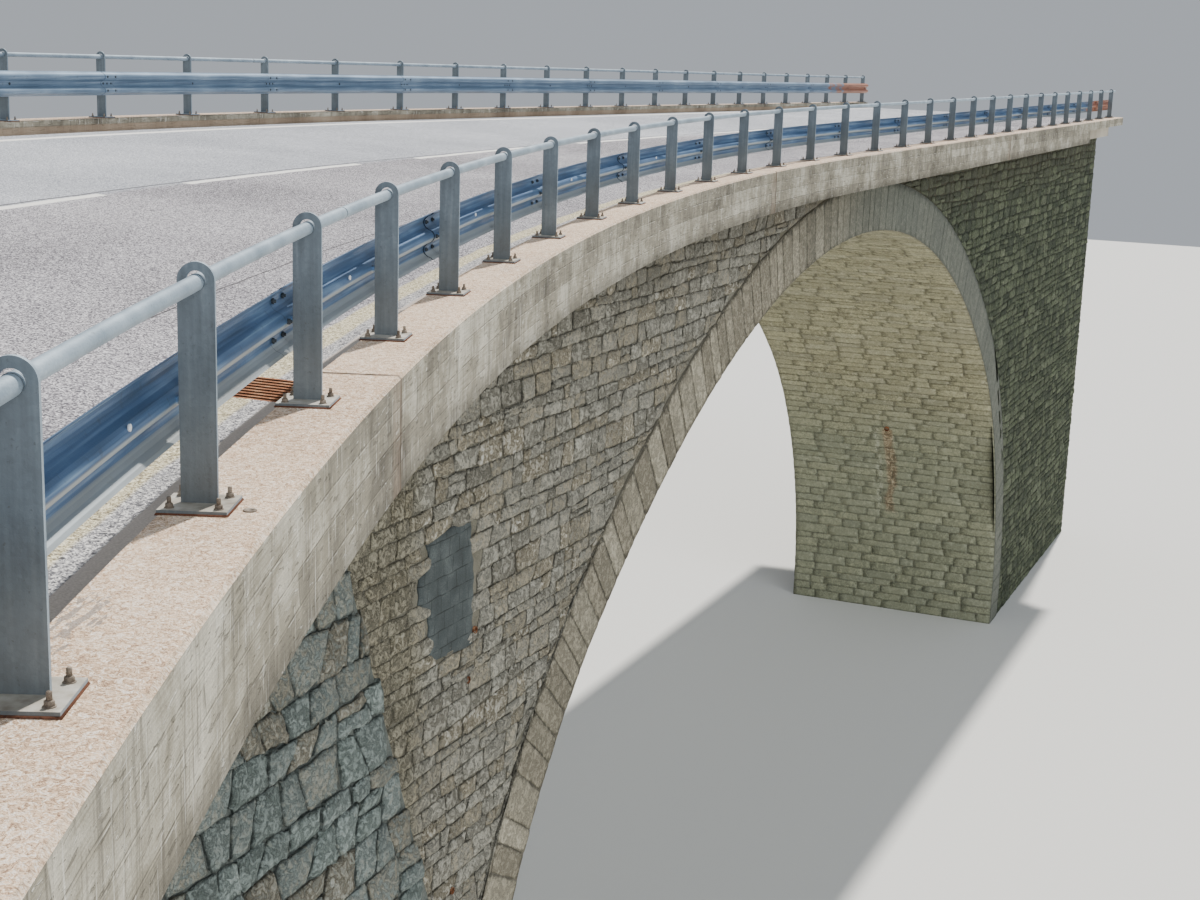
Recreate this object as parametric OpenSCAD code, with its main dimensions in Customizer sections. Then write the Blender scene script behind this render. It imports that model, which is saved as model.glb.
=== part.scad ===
// Stone arch road bridge at half size: an old straight masonry arch under a wider concrete deck that curves.
// It is drawn with x along the straight stretch, y to its left, and z up from the near railing's foot.
// The near railing line leads: a level arc that comes in from the west, then a straight run to the east.
// The far edge lies in a plane that dips to the east, so the road's cross fall runs out along the bridge.

/* [Arch] */
// Half of the clear span at the springing
half_span = 7910; // [7000:10:8800]
// Rise of the soffit above the springing
rise = 5920; // [5200:10:6000]
// Radius of the two small haunch arcs of the three-centred soffit
haunch_r = 4800; // [4200:10:5200]
// Depth of the arch ring
ring_depth = 480; // [300:10:480]
// How far the cut ring stones stand proud of the walls
ring_proud = 12; // [4:1:30]
// Length of a ring stone into the barrel
ring_bed = 420; // [250:10:700]
// Width of the old masonry, face to face
masonry_w = 2900; // [2400:10:3400]
// Height of the springing above the floor
leg_h = 266; // [100:1:1000]

/* [Deck] */
// Depth of the concrete fascia on the near side
fascia_h = 305; // [250:5:350]
// Width of each coping
coping_w = 215; // [180:5:260]
// Coping overhang outside the railing line
coping_out = 155; // [100:5:180]
// Upstand of the near coping above the road
near_kerb_h = 52; // [30:1:80]
// Upstand of the far coping above the road
far_kerb_h = 90; // [50:1:120]
// Depth of the far coping's nosing above its stained kerb face
nosing_h = 36; // [20:1:60]
// Thickness of the road surfacing
surfacing_t = 40; // [20:1:60]
// Height of the far coping above the near one where the bend meets the straight
far_rise = 214; // [100:1:260]
// Dip of the far edge to the east, in degrees
far_dip = 0.53; // [0:0.01:0.8]
// Railing line to railing line across the road
road_w = 4200; // [3600:10:4400]

/* [Plan] */
// Radius of the near railing line on the bend
bend_r = 33000; // [28000:100:40000]
// Length of the near railing line on the bend
bend_len = 15500; // [14000:100:16000]
// Length of the straight stretch
straight_len = 15500; // [14000:100:16500]
// Station of the crown on the straight
crown_x = 1627; // [1000:1:2500]
// Setback of the near wall face from the railing line
setback = 225; // [150:5:400]

/* [Railing] */
// Spacing of the near posts
post_pitch = 1000; // [900:10:1200]
// Height of a post to its rounded top
post_h = 450; // [400:5:550]
// Width of the flat-bar post
post_w = 68; // [50:1:80]
// Thickness of the flat-bar post
post_t = 9; // [6:1:14]
// Radius of the handrail pipe
pipe_r = 15; // [10:0.5:20]
// Radius of the hole that a post holds the pipe in
pipe_hole_r = 18; // [12:0.5:24]
// Side of the square base plate
plate_w = 128; // [100:1:160]
// Thickness of the base plate
plate_t = 9; // [5:1:12]

/* [Guard rail] */
// Height of the folded beam
beam_h = 160; // [120:1:180]
// Depth of the beam's two ridges
beam_d = 42; // [30:1:50]
// Thickness of the beam
beam_t = 4; // [2:0.5:6]
// Height of the near beam's middle above the railing foot
near_beam_z = 200; // [180:1:260]
// Height of the far beam's middle above the railing foot
far_beam_z = 234; // [180:1:260]
// Overlap of two beam sheets at every second post
lap_len = 130; // [100:5:250]

/* [Hidden] */
$fn = 96;
masonry_top = -fascia_h;
crown_cover = 29;
springing_z = masonry_top - crown_cover - ring_depth - rise;
floor_z = springing_z - leg_h;
// Crown arc and the turn at which the haunch arcs take over
crown_r = (half_span * half_span - 2 * half_span * haunch_r + rise * rise) / (2 * (rise - haunch_r));
haunch_x = half_span - haunch_r;
haunch_turn = atan2(haunch_x, crown_r - rise);
near_y = setback;
far_y = setback + masonry_w;
wall_t = 350;
west_wall_x = crown_x - half_span - ring_depth;
east_wall_x = crown_x + half_span + ring_depth;
// The west abutment widens with the bend: its far side is the arc through the end of the straight far wall
west_far_n = norm([west_wall_x, far_y + bend_r]) - bend_r;
corner_s = -bend_r * asin(-west_wall_x / (bend_r + west_far_n)) * PI / 180;
end_wall_len = 1500;
// The masonry stops short of the deck's ends
end_setback = 120;
// Layer that caps the rough block
cap_t = 1;
// Deck edges, as offsets from the near railing line
near_out = -coping_out;
near_in = coping_w - coping_out;
far_in = road_w + coping_out - coping_w;
far_out = road_w + coping_out;
haunch_n = west_far_n + 10;
// Arris, drip groove and nosing of the edge beams, and the slab's clearance behind them
chamfer = 8;
drip_r = 6;
drip_in = 35;
nosing_out = 6;
bed_gap = 1;
// Joints in the edge beams, and the station where the deep fascia gives way to a shallow coping
joint_s = [-bend_len, -11580, -2560, 6470, straight_len];
joint_gap = 4;
fascia_end = 12300;
shallow_h = 120;
// Near posts stand one pitch apart; the far ones stand a little wider apart
near_post_s0 = -14980;
near_posts = 31;
far_post_pitch = 1.043 * post_pitch;
far_post_s0 = -14906;
far_posts = 30;
rail_end = 60;
// The pipe lies low in the posts' holes, and a weld runs round it there
pipe_drop = 3.5;
weld_t = 1;
weld_reach = post_t / 2 + 2;
// Every other sheet sits behind its neighbours, so that the ends lap; clips on the posts hold the webs
lap_play = 0.2;
clip = [30, 14];
clip_bite = 2;
rear_web = post_w / 2 + 2;
// Web to ridge as a share of the beam's height, and how flat its bends are
ridge_at = 0.29;
flatness = 0.65;
sheet_steps = 26;
// Stations closest together on the bend, where the ruled deck has to follow its edge beams
bend_step = 500;
straight_step = 1550;
// Rough block: east edge, west edge and stand-out at its head and at its foot
block_top = [-8330, -11600, 30];
block_foot = [-6775, -12975, 830];
// Drain grate: station, offset, size along, across and deep, and its slots
grate_s = -11615;
grate_n = 190;
grate_size = [290, 150, 34];
grate_slots = 8;
grate_rim = 14;
weep_r = 22;
weep_bore = 17;
weep_len = 14;
// Weep pipes in the near wall: distance from the crown and height
weeps = [[-7920, -2515], [-8000, -2800], [-8160, -4070]];
// Middle of the footprint
west_turn = bend_len / bend_r * 180 / PI;
west_x = -(bend_r + far_out) * sin(west_turn) * cos(far_dip) - fascia_h * sin(far_dip);
mid_x = (straight_len + west_x) / 2;
mid_y = (far_out - bend_r + (bend_r + near_out) * cos(west_turn)) / 2;

function turn(s) = s < 0 ? -s / bend_r * 180 / PI : 0;

// Point at a station, an offset left of the near railing line and a height
function on_path(s, n, z) = [s < 0 ? -(bend_r + n) * sin(turn(s)) : s,
    (bend_r + n) * cos(turn(s)) - bend_r, z];

// Height of the far coping at a station
function far_z(s) = far_rise - on_path(s, road_w, 0)[0] * tan(far_dip);

// Height of the road surface
function road_z(s, n) = -near_kerb_h
    + (far_z(s) - far_kerb_h + near_kerb_h) * (n - near_in) / (far_in - near_in);

// Moves everything so that the middle of the footprint on the floor is the origin
module place() {
    translate([-mid_x, -mid_y, -floor_z]) children();
}

// Sets pieces of the far edge into its dipping plane
module dip() {
    translate([0, 0, far_rise]) rotate([0, far_dip, 0]) children();
}

// Carries a section (offset left, height) along the railing line from one station to another
module along(s0, s1) {
    if (s0 < 0)
        translate([0, -bend_r, 0])
            rotate([0, 0, 90 + turn(min(s1, 0))])
                rotate_extrude(angle = turn(s0) - turn(min(s1, 0)), $fn = 720)
                    translate([bend_r, 0]) children();
    if (s1 > 0)
        translate([max(s0, 0), 0, 0])
            rotate([90, 0, 90])
                linear_extrude(s1 - max(s0, 0)) children();
}

// Stands a piece at a station, its x along the line and its y to the left
module at(s) {
    if (s < 0)
        translate([0, -bend_r, 0]) rotate([0, 0, turn(s)]) translate([0, bend_r, 0]) children();
    else
        translate([s, 0, 0]) children();
}

// Stations from s0 to s1, close together on the bend and with one where the straight begins
function stations(s0, s1) = let(
        w = s0 < 0 ? ceil((min(s1, 0) - s0) / bend_step) : 0,
        e = s1 > 0 ? ceil((s1 - max(s0, 0)) / straight_step) : 0)
    concat([for (i = [0 : 1 : w - 1]) s0 + (min(s1, 0) - s0) * i / w],
        [for (i = [0 : 1 : e - 1]) max(s0, 0) + (s1 - max(s0, 0)) * i / e], [s1]);

// Solid ruled from one section to the next; section(s) lists the corners as offset and height
module ruled(s0, s1, section) {
    ss = stations(s0, s1);
    m = len(section(s0));
    last = (len(ss) - 1) * m;
    points = [for (s = ss) for (p = section(s)) on_path(s, p[0], p[1])];
    sides = [for (i = [0 : len(ss) - 2]) for (j = [0 : m - 1]) let(
            a = i * m + j,
            b = i * m + (j + 1) % m)
        each [[a, b, b + m], [a, b + m, a + m]]];
    polyhedron(points, concat(sides, [[for (j = [m - 1 : -1 : 0]) j]], [[for (j = [0 : m - 1]) last + j]]));
}

// Area under the three-centred arch, grown outwards by off, down to the floor
module arch_area(off) {
    reach = 2 * crown_r;
    intersection() {
        union() {
            intersection() {
                translate([0, rise - crown_r]) circle(crown_r + off, $fn = 360);
                polygon([[-haunch_x, 0], [haunch_x, 0],
                    [reach * sin(haunch_turn), rise - crown_r + reach * cos(haunch_turn)],
                    [-reach * sin(haunch_turn), rise - crown_r + reach * cos(haunch_turn)]]);
            }
            for (side = [-1, 1])
                translate([side * haunch_x, 0]) circle(haunch_r + off, $fn = 240);
            translate([-half_span - off, -leg_h]) square([2 * (half_span + off), leg_h]);
        }
        translate([-2 * half_span, -leg_h]) square([4 * half_span, 2 * rise]);
    }
}

// Turns an elevation drawn at the springing's middle into a slab across the bridge from y0 to y1
module across(y0, y1) {
    translate([crown_x, y1, springing_z]) rotate([90, 0, 0]) linear_extrude(y1 - y0) children();
}

module ring_face() {
    difference() {
        arch_area(ring_depth);
        arch_area(0);
    }
}

module arch_barrel() {
    color("#b3a98c") place() across(near_y + ring_bed, far_y - ring_bed) ring_face();
}

module near_ring() {
    color("#cfc8b8") place() across(near_y - ring_proud, near_y + ring_bed) ring_face();
}

module far_ring() {
    color("#cfc8b8") place() across(far_y - ring_bed, far_y + ring_proud) ring_face();
}

// One half of the masonry above the ring, from the crown to the abutment
module spandrel_half(side) {
    difference() {
        translate([side > 0 ? 0 : west_wall_x - crown_x, -leg_h])
            square([half_span + ring_depth, masonry_top - floor_z]);
        arch_area(ring_depth);
    }
}

module near_spandrel_west() {
    color("#a89c84") place() across(near_y, near_y + wall_t) spandrel_half(-1);
}

module near_spandrel_east() {
    color("#8f8a70") place() across(near_y, near_y + wall_t) spandrel_half(1);
}

module far_spandrel_west() {
    color("#a89c84") place() across(far_y - wall_t, far_y) spandrel_half(-1);
}

module far_spandrel_east() {
    color("#8f8a70") place() across(far_y - wall_t, far_y) spandrel_half(1);
}

module rubble_fill() {
    color("#7d7564") place() across(near_y + wall_t, far_y - wall_t) {
        spandrel_half(-1);
        spandrel_half(1);
    }
}

// Wall from the floor to the underside of the deck, between two offsets
module wall_section(n0, n1) {
    translate([n0, floor_z]) square([n1 - n0, masonry_top - floor_z]);
}

module west_abutment() {
    color("#a0957e") place() intersection() {
        along(end_wall_len - bend_len, corner_s) wall_section(0, west_far_n);
        translate([-bend_len, near_y, floor_z])
            cube([bend_len + west_wall_x, masonry_w + haunch_n, masonry_top - floor_z]);
    }
}

module east_abutment() {
    color("#8f8a70") place() along(east_wall_x, straight_len - end_setback) wall_section(near_y, far_y);
}

module west_end_wall() {
    color("#98907c") place() along(end_setback - bend_len, end_wall_len - bend_len)
        wall_section(near_y, west_far_n);
}

// Battered block of rough stone against the west abutment
module west_buttress() {
    color("#8d939a") place() hull() {
        translate([block_foot[1], near_y - block_foot[2], floor_z])
            cube([block_foot[0] - block_foot[1], block_foot[2], cap_t]);
        translate([block_top[1], near_y - block_top[2], masonry_top - cap_t])
            cube([block_top[0] - block_top[1], block_top[2], cap_t]);
    }
}

// Slab between the edge beams: flat over the masonry, then rising to the far edge beam
function slab_section(s) = [[near_in + bed_gap, masonry_top], [haunch_n, masonry_top],
    [far_in, far_z(s) - fascia_h], [far_in, road_z(s, far_in) - surfacing_t],
    [near_in + bed_gap, road_z(s, near_in) - surfacing_t]];

// Road surfacing on the slab, of even thickness
function surfacing_section(s) = [[near_in + bed_gap, road_z(s, near_in) - surfacing_t],
    [far_in, road_z(s, far_in) - surfacing_t], [far_in, road_z(s, far_in)],
    [near_in + bed_gap, road_z(s, near_in)]];

// Coping and fascia in one, with a chamfered arris and a drip groove; the outer face is at 0
module edge_section(depth) {
    difference() {
        polygon([[0, -depth], [coping_w, -depth], [coping_w, 0], [chamfer, 0], [0, -chamfer]]);
        translate([drip_in, -depth]) circle(drip_r, $fn = 24);
    }
}

module deck_slab(k) {
    color("#b9b6ad") place() ruled(joint_s[k - 1], joint_s[k], function (s) slab_section(s));
}

// The last length of the near beam has a deep fascia only as far as the arch's wall needs it
module near_edge_beam(k) {
    s0 = joint_s[k - 1] + (k == 1 ? 0 : joint_gap);
    s1 = min(joint_s[k], fascia_end);
    color("#c9c2b4") place() {
        along(s0, s1) translate([near_out, 0]) edge_section(fascia_h);
        if (s1 < joint_s[k])
            along(s1, joint_s[k]) translate([near_out, 0]) edge_section(shallow_h);
    }
}

// The far coping's nosing stands out a little over its kerb face
module far_edge_beam(k) {
    s0 = joint_s[k - 1] + (k == 1 ? 0 : joint_gap);
    color("#c4bba9") place() dip() along(s0, joint_s[k]) {
        translate([far_out, 0]) mirror([1, 0]) edge_section(fascia_h);
        translate([far_in - nosing_out, -nosing_h]) square([2 * nosing_out, nosing_h]);
    }
}

// Block that the grate fills, set level with the road across its fall; grow carries it up through the surface
module grate_block(grow) {
    lean = atan((road_z(grate_s, far_in) - road_z(grate_s, near_in)) / (far_in - near_in));
    at(grate_s) translate([0, grate_n, road_z(grate_s, grate_n)]) rotate([lean, 0, 0])
        translate([-grate_size[0] / 2, -grate_size[1] / 2, -grate_size[2]])
            cube([grate_size[0], grate_size[1], grate_size[2] + grow]);
}

module carriageway_west() {
    color("#8a8d90") place() difference() {
        ruled(-bend_len, 0, function (s) surfacing_section(s));
        grate_block(surfacing_t);
    }
}

module carriageway_east() {
    color("#8a8d90") place() ruled(0, straight_len, function (s) surfacing_section(s));
}

// Slotted cast grate that fills its pocket in the surfacing
module drain_grate() {
    pitch = (grate_size[0] - grate_rim) / grate_slots;
    slot = [pitch - grate_rim, grate_size[1] - 2 * grate_rim, 2 * fascia_h];
    color("#9c5a33") place() difference() {
        grate_block(0);
        at(grate_s) for (k = [0 : grate_slots - 1])
            translate([grate_rim - grate_size[0] / 2 + k * pitch, grate_n - slot[1] / 2, -fascia_h])
                cube(slot);
    }
}

module weep_pipes() {
    color("#7a4a30") place() for (w = weeps)
        translate([crown_x + w[0], near_y - weep_len, w[1]]) rotate([-90, 0, 0]) difference() {
            cylinder(r = weep_r, h = weep_len);
            translate([0, 0, -weep_len / 4]) cylinder(r = weep_bore, h = weep_len);
        }
}

// Flat-bar post set across the line, its rounded head pierced for the handrail, on a base plate
module post() {
    head = post_h - post_w / 2;
    translate([-post_t / 2, 0, 0]) rotate([90, 0, 90]) linear_extrude(post_t) difference() {
        union() {
            translate([0, head]) circle(post_w / 2, $fn = 64);
            translate([-post_w / 2, 0]) square([post_w, head]);
        }
        translate([0, head]) circle(pipe_hole_r, $fn = 48);
    }
    translate([-plate_w / 2, -plate_w / 2, 0]) cube([plate_w, plate_w, plate_t]);
}

// Ends of the rails of one length between two joints
function rail_start(k) = joint_s[k - 1] + (k == 1 ? rail_end : joint_gap);
function rail_stop(k) = joint_s[k] - (k == 4 ? rail_end : joint_gap);

// Handrail, or a weld round it, from s0 to s1
module pipe(s0, s1, line, radius) {
    along(s0, s1)
        translate([line, post_h - post_w / 2 - pipe_drop]) circle(radius, $fn = 32);
}

// Posts and handrail of one length; side is 1 where the road lies to the left of the line
module railing(k, line, side, first, pitch, count) {
    pipe(rail_start(k), rail_stop(k), line, pipe_r);
    for (j = [0 : count - 1])
        if (first + j * pitch > joint_s[k - 1] && first + j * pitch < joint_s[k]) {
            at(first + j * pitch) translate([0, line, 0]) mirror([0, side > 0 ? 0 : 1, 0]) post();
            pipe(first + j * pitch - weld_reach, first + j * pitch + weld_reach, line, pipe_r + weld_t);
        }
}

// Wave with flattened tops: 0 at the web on the posts, 1 at the two ridges towards the road
function wave(u) = let(c = cos(180 * u / ridge_at)) (1 - sign(c) * pow(abs(c), flatness)) / 2;

// Rolled sheet with two ridges, the back of its web at 0
module beam_section() {
    back = [for (i = [0 : sheet_steps])
        [wave(i / sheet_steps - 0.5) * (beam_d - beam_t), (i / sheet_steps - 0.5) * beam_h]];
    front = [for (i = [sheet_steps : -1 : 0]) back[i] + [beam_t, 0]];
    polygon(concat(front, back));
}

// One sheet from s0 to s1 with a clip on each post that it covers and that no neighbour holds
module beam_sheet(s0, s1, line, side, height, web, posts) {
    along(s0, s1)
        translate([line + side * web, height]) mirror([side > 0 ? 0 : 1, 0]) beam_section();
    for (s = posts)
        at(s) translate([0, line, height]) mirror([0, side > 0 ? 0 : 1, 0])
            translate([-clip[0] / 2, post_w / 2, -clip[1] / 2])
                cube([clip[0], web + clip_bite - post_w / 2, clip[1]]);
}

// Sheets whose middles lie between two joints; lap is the parity of the posts at which they lap
module guard_rail(k, line, side, height, first, pitch, count, lap) {
    for (j = [lap - 2 : 2 : count]) {
        s0 = max(first + j * pitch - lap_len / 2, joint_s[0] + rail_end);
        s1 = min(first + (j + 2) * pitch + lap_len / 2, joint_s[4] - rail_end);
        middle = first + (j + 1) * pitch;
        rear = (j - lap) % 4 == 0;
        held = [for (i = rear ? [j, j + 1, j + 2] : [j + 1]) if (i >= 0 && i < count) first + i * pitch];
        if (middle > joint_s[k - 1] && middle < joint_s[k])
            beam_sheet(s0, s1, line, side, height, rear_web + (rear ? 0 : beam_t + lap_play), held);
    }
}

module near_railing(k) {
    color("#9fb0bd") place() railing(k, 0, 1, near_post_s0, post_pitch, near_posts);
}

module far_railing(k) {
    color("#9fb0bd") place() dip() railing(k, road_w, -1, far_post_s0, far_post_pitch, far_posts);
}

module near_guard_rail(k) {
    color("#7d8fa3") place() guard_rail(k, 0, 1, near_beam_z, near_post_s0, post_pitch, near_posts, 1);
}

module far_guard_rail(k) {
    color("#7d8fa3") place() dip()
        guard_rail(k, road_w, -1, far_beam_z, far_post_s0, far_post_pitch, far_posts, 0);
}

arch_barrel();
near_ring();
far_ring();
near_spandrel_west();
near_spandrel_east();
far_spandrel_west();
far_spandrel_east();
rubble_fill();
west_abutment();
east_abutment();
west_end_wall();
west_buttress();
deck_slab(1);  // deck_slab_1
deck_slab(2);  // deck_slab_2
deck_slab(3);  // deck_slab_3
deck_slab(4);  // deck_slab_4
near_edge_beam(1);  // near_edge_beam_1
near_edge_beam(2);  // near_edge_beam_2
near_edge_beam(3);  // near_edge_beam_3
near_edge_beam(4);  // near_edge_beam_4
far_edge_beam(1);  // far_edge_beam_1
far_edge_beam(2);  // far_edge_beam_2
far_edge_beam(3);  // far_edge_beam_3
far_edge_beam(4);  // far_edge_beam_4
carriageway_west();
carriageway_east();
drain_grate();
weep_pipes();
near_railing(1);  // near_railing_1
near_railing(2);  // near_railing_2
near_railing(3);  // near_railing_3
near_railing(4);  // near_railing_4
far_railing(1);  // far_railing_1
far_railing(2);  // far_railing_2
far_railing(3);  // far_railing_3
far_railing(4);  // far_railing_4
near_guard_rail(1);  // near_guard_rail_1
near_guard_rail(2);  // near_guard_rail_2
near_guard_rail(3);  // near_guard_rail_3
near_guard_rail(4);  // near_guard_rail_4
far_guard_rail(1);  // far_guard_rail_1
far_guard_rail(2);  // far_guard_rail_2
far_guard_rail(3);  // far_guard_rail_3
far_guard_rail(4);  // far_guard_rail_4
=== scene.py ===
"""Looks of a stone arch road bridge at half size: stonework, concrete, asphalt, railings and guard rails.

Lengths are in metres. The bridge is laid out with x along its straight stretch, y to the left of it and z up
from the foot of the near railing. seat() moves it to the frame's origin, the middle of its footprint.
"""

import math
from functools import partialmethod, reduce

import bpy
import numpy as np
from mathutils import Matrix, Vector


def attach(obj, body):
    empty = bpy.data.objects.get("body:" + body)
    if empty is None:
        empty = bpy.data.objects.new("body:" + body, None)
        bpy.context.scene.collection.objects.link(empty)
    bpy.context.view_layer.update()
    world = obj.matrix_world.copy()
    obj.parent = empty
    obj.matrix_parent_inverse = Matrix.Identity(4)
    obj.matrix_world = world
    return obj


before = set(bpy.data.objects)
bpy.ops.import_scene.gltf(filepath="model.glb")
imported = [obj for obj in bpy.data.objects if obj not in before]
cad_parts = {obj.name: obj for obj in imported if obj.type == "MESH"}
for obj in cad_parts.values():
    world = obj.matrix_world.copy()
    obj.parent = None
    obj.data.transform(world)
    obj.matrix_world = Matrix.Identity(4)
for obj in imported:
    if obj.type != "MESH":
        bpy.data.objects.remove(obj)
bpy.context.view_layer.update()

# Plan: the near railing line is an arc of BEND_R that ends where x is 0, then a straight
BEND_R = 33.0
BEND_LEN = 15.5
STRAIGHT = 15.5
ROAD_W = 4.2
COPING_OUT = 0.155
FASCIA_H = 0.305
FAR_RISE = 0.214
DIP = math.radians(0.53)
# Masonry
CROWN_X = 1.627
HALF_SPAN = 7.91
RISE = 5.92
HAUNCH_R = 4.8
RING = 0.48
RING_PROUD = 0.012
LEG = 0.266
COVER = 0.029
NEAR_Y = 0.225
FAR_Y = NEAR_Y + 2.9
WALL_TOP = -FASCIA_H
SPRING_Z = WALL_TOP - COVER - RING - RISE
FLOOR_Z = SPRING_Z - LEG
CROWN_R = (HALF_SPAN**2 - 2 * HALF_SPAN * HAUNCH_R + RISE**2) / (2 * (RISE - HAUNCH_R))
HAUNCH_X = HALF_SPAN - HAUNCH_R
HAUNCH_TURN = math.atan2(HAUNCH_X, CROWN_R - RISE)
WEST_WALL_X = CROWN_X - HALF_SPAN - RING
WEST_FAR_N = math.hypot(WEST_WALL_X, FAR_Y + BEND_R) - BEND_R
END_SETBACK = 0.12
END_WALL = 1.5
END_WALL_W = 3.23
# Rough block: east edge, west edge and stand-out at its head and at its foot
BLOCK_TOP = (-8.33, -11.6, 0.03)
BLOCK_FOOT = (-6.775, -12.975, 0.83)
# Edges of the cement patch on the near wall, from its foot up: x and z
PATCH_WEST = np.array([
    (-6.841, -2.551), (-6.852, -2.377), (-6.862, -2.236), (-6.969, -2.184), (-6.972, -2.026), (-6.87, -1.983),
    (-6.862, -1.897), (-6.9, -1.837), (-6.857, -1.819)]).T
PATCH_EAST = np.array([(-6.33, -2.551), (-6.33, -2.4), (-6.322, -2.156), (-6.35, -1.98), (-6.372, -1.819)]).T
PATCH_FOOT = -2.551
PATCH_H = 0.732
# Railings and guard rails. Posts: first station, pitch and number. Lap: the first post where two sheets lap
NEAR_POSTS = (-14.98, 1.0, 31)
FAR_POSTS = (-14.906, 1.043, 30)
JOINTS = (-11.58, -2.56, 6.47)
POST_T = 0.009
PLATE_T = 0.009
PLATE_W = 0.128
NEAR_BEAM_Z = 0.2
FAR_BEAM_Z = 0.234
NEAR_LAP = 1
FAR_LAP = 0
BEAM_H = 0.16
# Loose washer: station and offset. Spout in the soffit: distance across and length along the arch
WASHER = (-12.995, -0.095)
SPOUT = (1.7, 19.4)

TURN = BEND_LEN / BEND_R
FAR_OUT = ROAD_W + COPING_OUT
MID_X = (STRAIGHT - (BEND_R + FAR_OUT) * math.sin(TURN) * math.cos(DIP) - FASCIA_H * math.sin(DIP)) / 2
MID_Y = (FAR_OUT - BEND_R + (BEND_R - COPING_OUT) * math.cos(TURN)) / 2


def seat(x, y, z):
    """Points of the layout, moved to the frame's origin."""
    return np.stack(np.broadcast_arrays(x - MID_X, y - MID_Y, z - FLOOR_Z), -1)


def on_road(s, n):
    """Plan point at station s on the near railing line and n to its left.

    On the bend both turn about one centre: x and y are the radius times the sine and cosine of s over BEND_R.
    """
    turn = np.minimum(s, 0) / BEND_R
    x = np.where(np.less(s, 0), (BEND_R + n) * np.sin(turn), s)
    return x, (BEND_R + n) * np.cos(turn) - BEND_R


HAUNCH_LEN = HAUNCH_R * (math.pi / 2 - HAUNCH_TURN)
ARCH_STEPS = np.cumsum([LEG, HAUNCH_LEN, 2 * CROWN_R * HAUNCH_TURN, HAUNCH_LEN, LEG])
ARCH_LEN = ARCH_STEPS[-1]


def arch(t, off):
    """Point at length t along the soffit from its west foot, moved out by off.

    A leg, a small arc, the crown arc, a small arc and a leg. The angle falls with t over each arc's radius,
    and the point is the arc's centre plus radius and off in that direction.
    """
    leg, west, crown, east = ARCH_STEPS[:4]
    part = [t < leg, t < west, t < crown, t < east]
    angle = np.select(
        part,
        [math.pi, math.pi - (t - leg) / HAUNCH_R, math.pi / 2 + HAUNCH_TURN - (t - west) / CROWN_R,
         math.pi / 2 - HAUNCH_TURN - (t - crown) / HAUNCH_R], 0.0)
    radius = np.select(part, [HAUNCH_R, HAUNCH_R, CROWN_R, HAUNCH_R], HAUNCH_R) + off
    centre_x = np.select(part, [-HAUNCH_X, -HAUNCH_X, 0.0, HAUNCH_X], HAUNCH_X)
    centre_z = np.select(part, [t - leg, 0.0, RISE - CROWN_R, 0.0], east - t)
    return CROWN_X + centre_x + radius * np.cos(angle), SPRING_Z + centre_z + radius * np.sin(angle)


def outside_ring(x, z, gap):
    """Points inside the ring's outer line, grown by gap, moved straight out to it."""
    side = np.where(x < CROWN_X, -1, 1)
    ax = np.abs(x - CROWN_X)
    az = z - SPRING_Z
    crown = np.arctan2(ax, az - RISE + CROWN_R) < HAUNCH_TURN
    cx = np.where(crown, 0, HAUNCH_X)
    cz = np.where(crown, RISE - CROWN_R, np.minimum(az, 0))
    reach = np.where(crown, CROWN_R, HAUNCH_R) + RING + gap
    out = np.where(crown, ax, np.maximum(ax - HAUNCH_X, 0.001))
    push = np.maximum(reach / np.hypot(out, az - cz), 1)
    return CROWN_X + side * (cx + out * push), SPRING_Z + cz + (az - cz) * push


# Materials

finishes = {}


def linear(code):
    """Linear colour of a six-digit screen colour."""
    part = np.array([int(code[i:i + 2], 16) for i in (0, 2, 4)]) / 255
    return (*np.where(part < 0.04045, part / 12.92, ((part + 0.055) / 1.055) ** 2.4), 1.0)


class Field:
    """A value that varies over a surface: arithmetic on it adds Math nodes."""

    def __init__(self, finish, socket):
        self.finish = finish
        self.socket = socket

    def math(self, operation, *others):
        return self.finish.node("Math", {"operation": operation}, [self, *others])

    __add__ = __radd__ = partialmethod(math, "ADD")
    __sub__ = partialmethod(math, "SUBTRACT")
    __mul__ = __rmul__ = partialmethod(math, "MULTIPLY")
    __truediv__ = partialmethod(math, "DIVIDE")
    __abs__ = partialmethod(math, "ABSOLUTE")
    fract = partialmethod(math, "FRACT")
    floor = partialmethod(math, "FLOOR")
    most = partialmethod(math, "MAXIMUM")
    below = partialmethod(math, "LESS_THAN")

    def __rsub__(self, other):
        return self.finish.node("Math", {"operation": "SUBTRACT"}, [other, self])

    def rise(self, low, high):
        """0 below low, 1 above high, and a smooth step between them."""
        return self.finish.node("MapRange", {"interpolation_type": "SMOOTHSTEP"},
                                {"Value": self, "From Min": low, "From Max": high})

    def band(self, middle, half, soft):
        """1 within half of the middle, falling to 0 over soft."""
        return 1 - abs(self - middle).rise(half, half + soft)

    def grooves(self, width):
        """1 at the whole numbers, falling to 0 within about width of them."""
        part = self.fract()
        return 1 - (part * (1 - part)).rise(0.0, width)

    def from_nearest(self, first, pitch):
        """Distance to the nearest of first, first + pitch and so on."""
        return abs(((self - first) / pitch + 0.5).fract() - 0.5) * pitch


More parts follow.
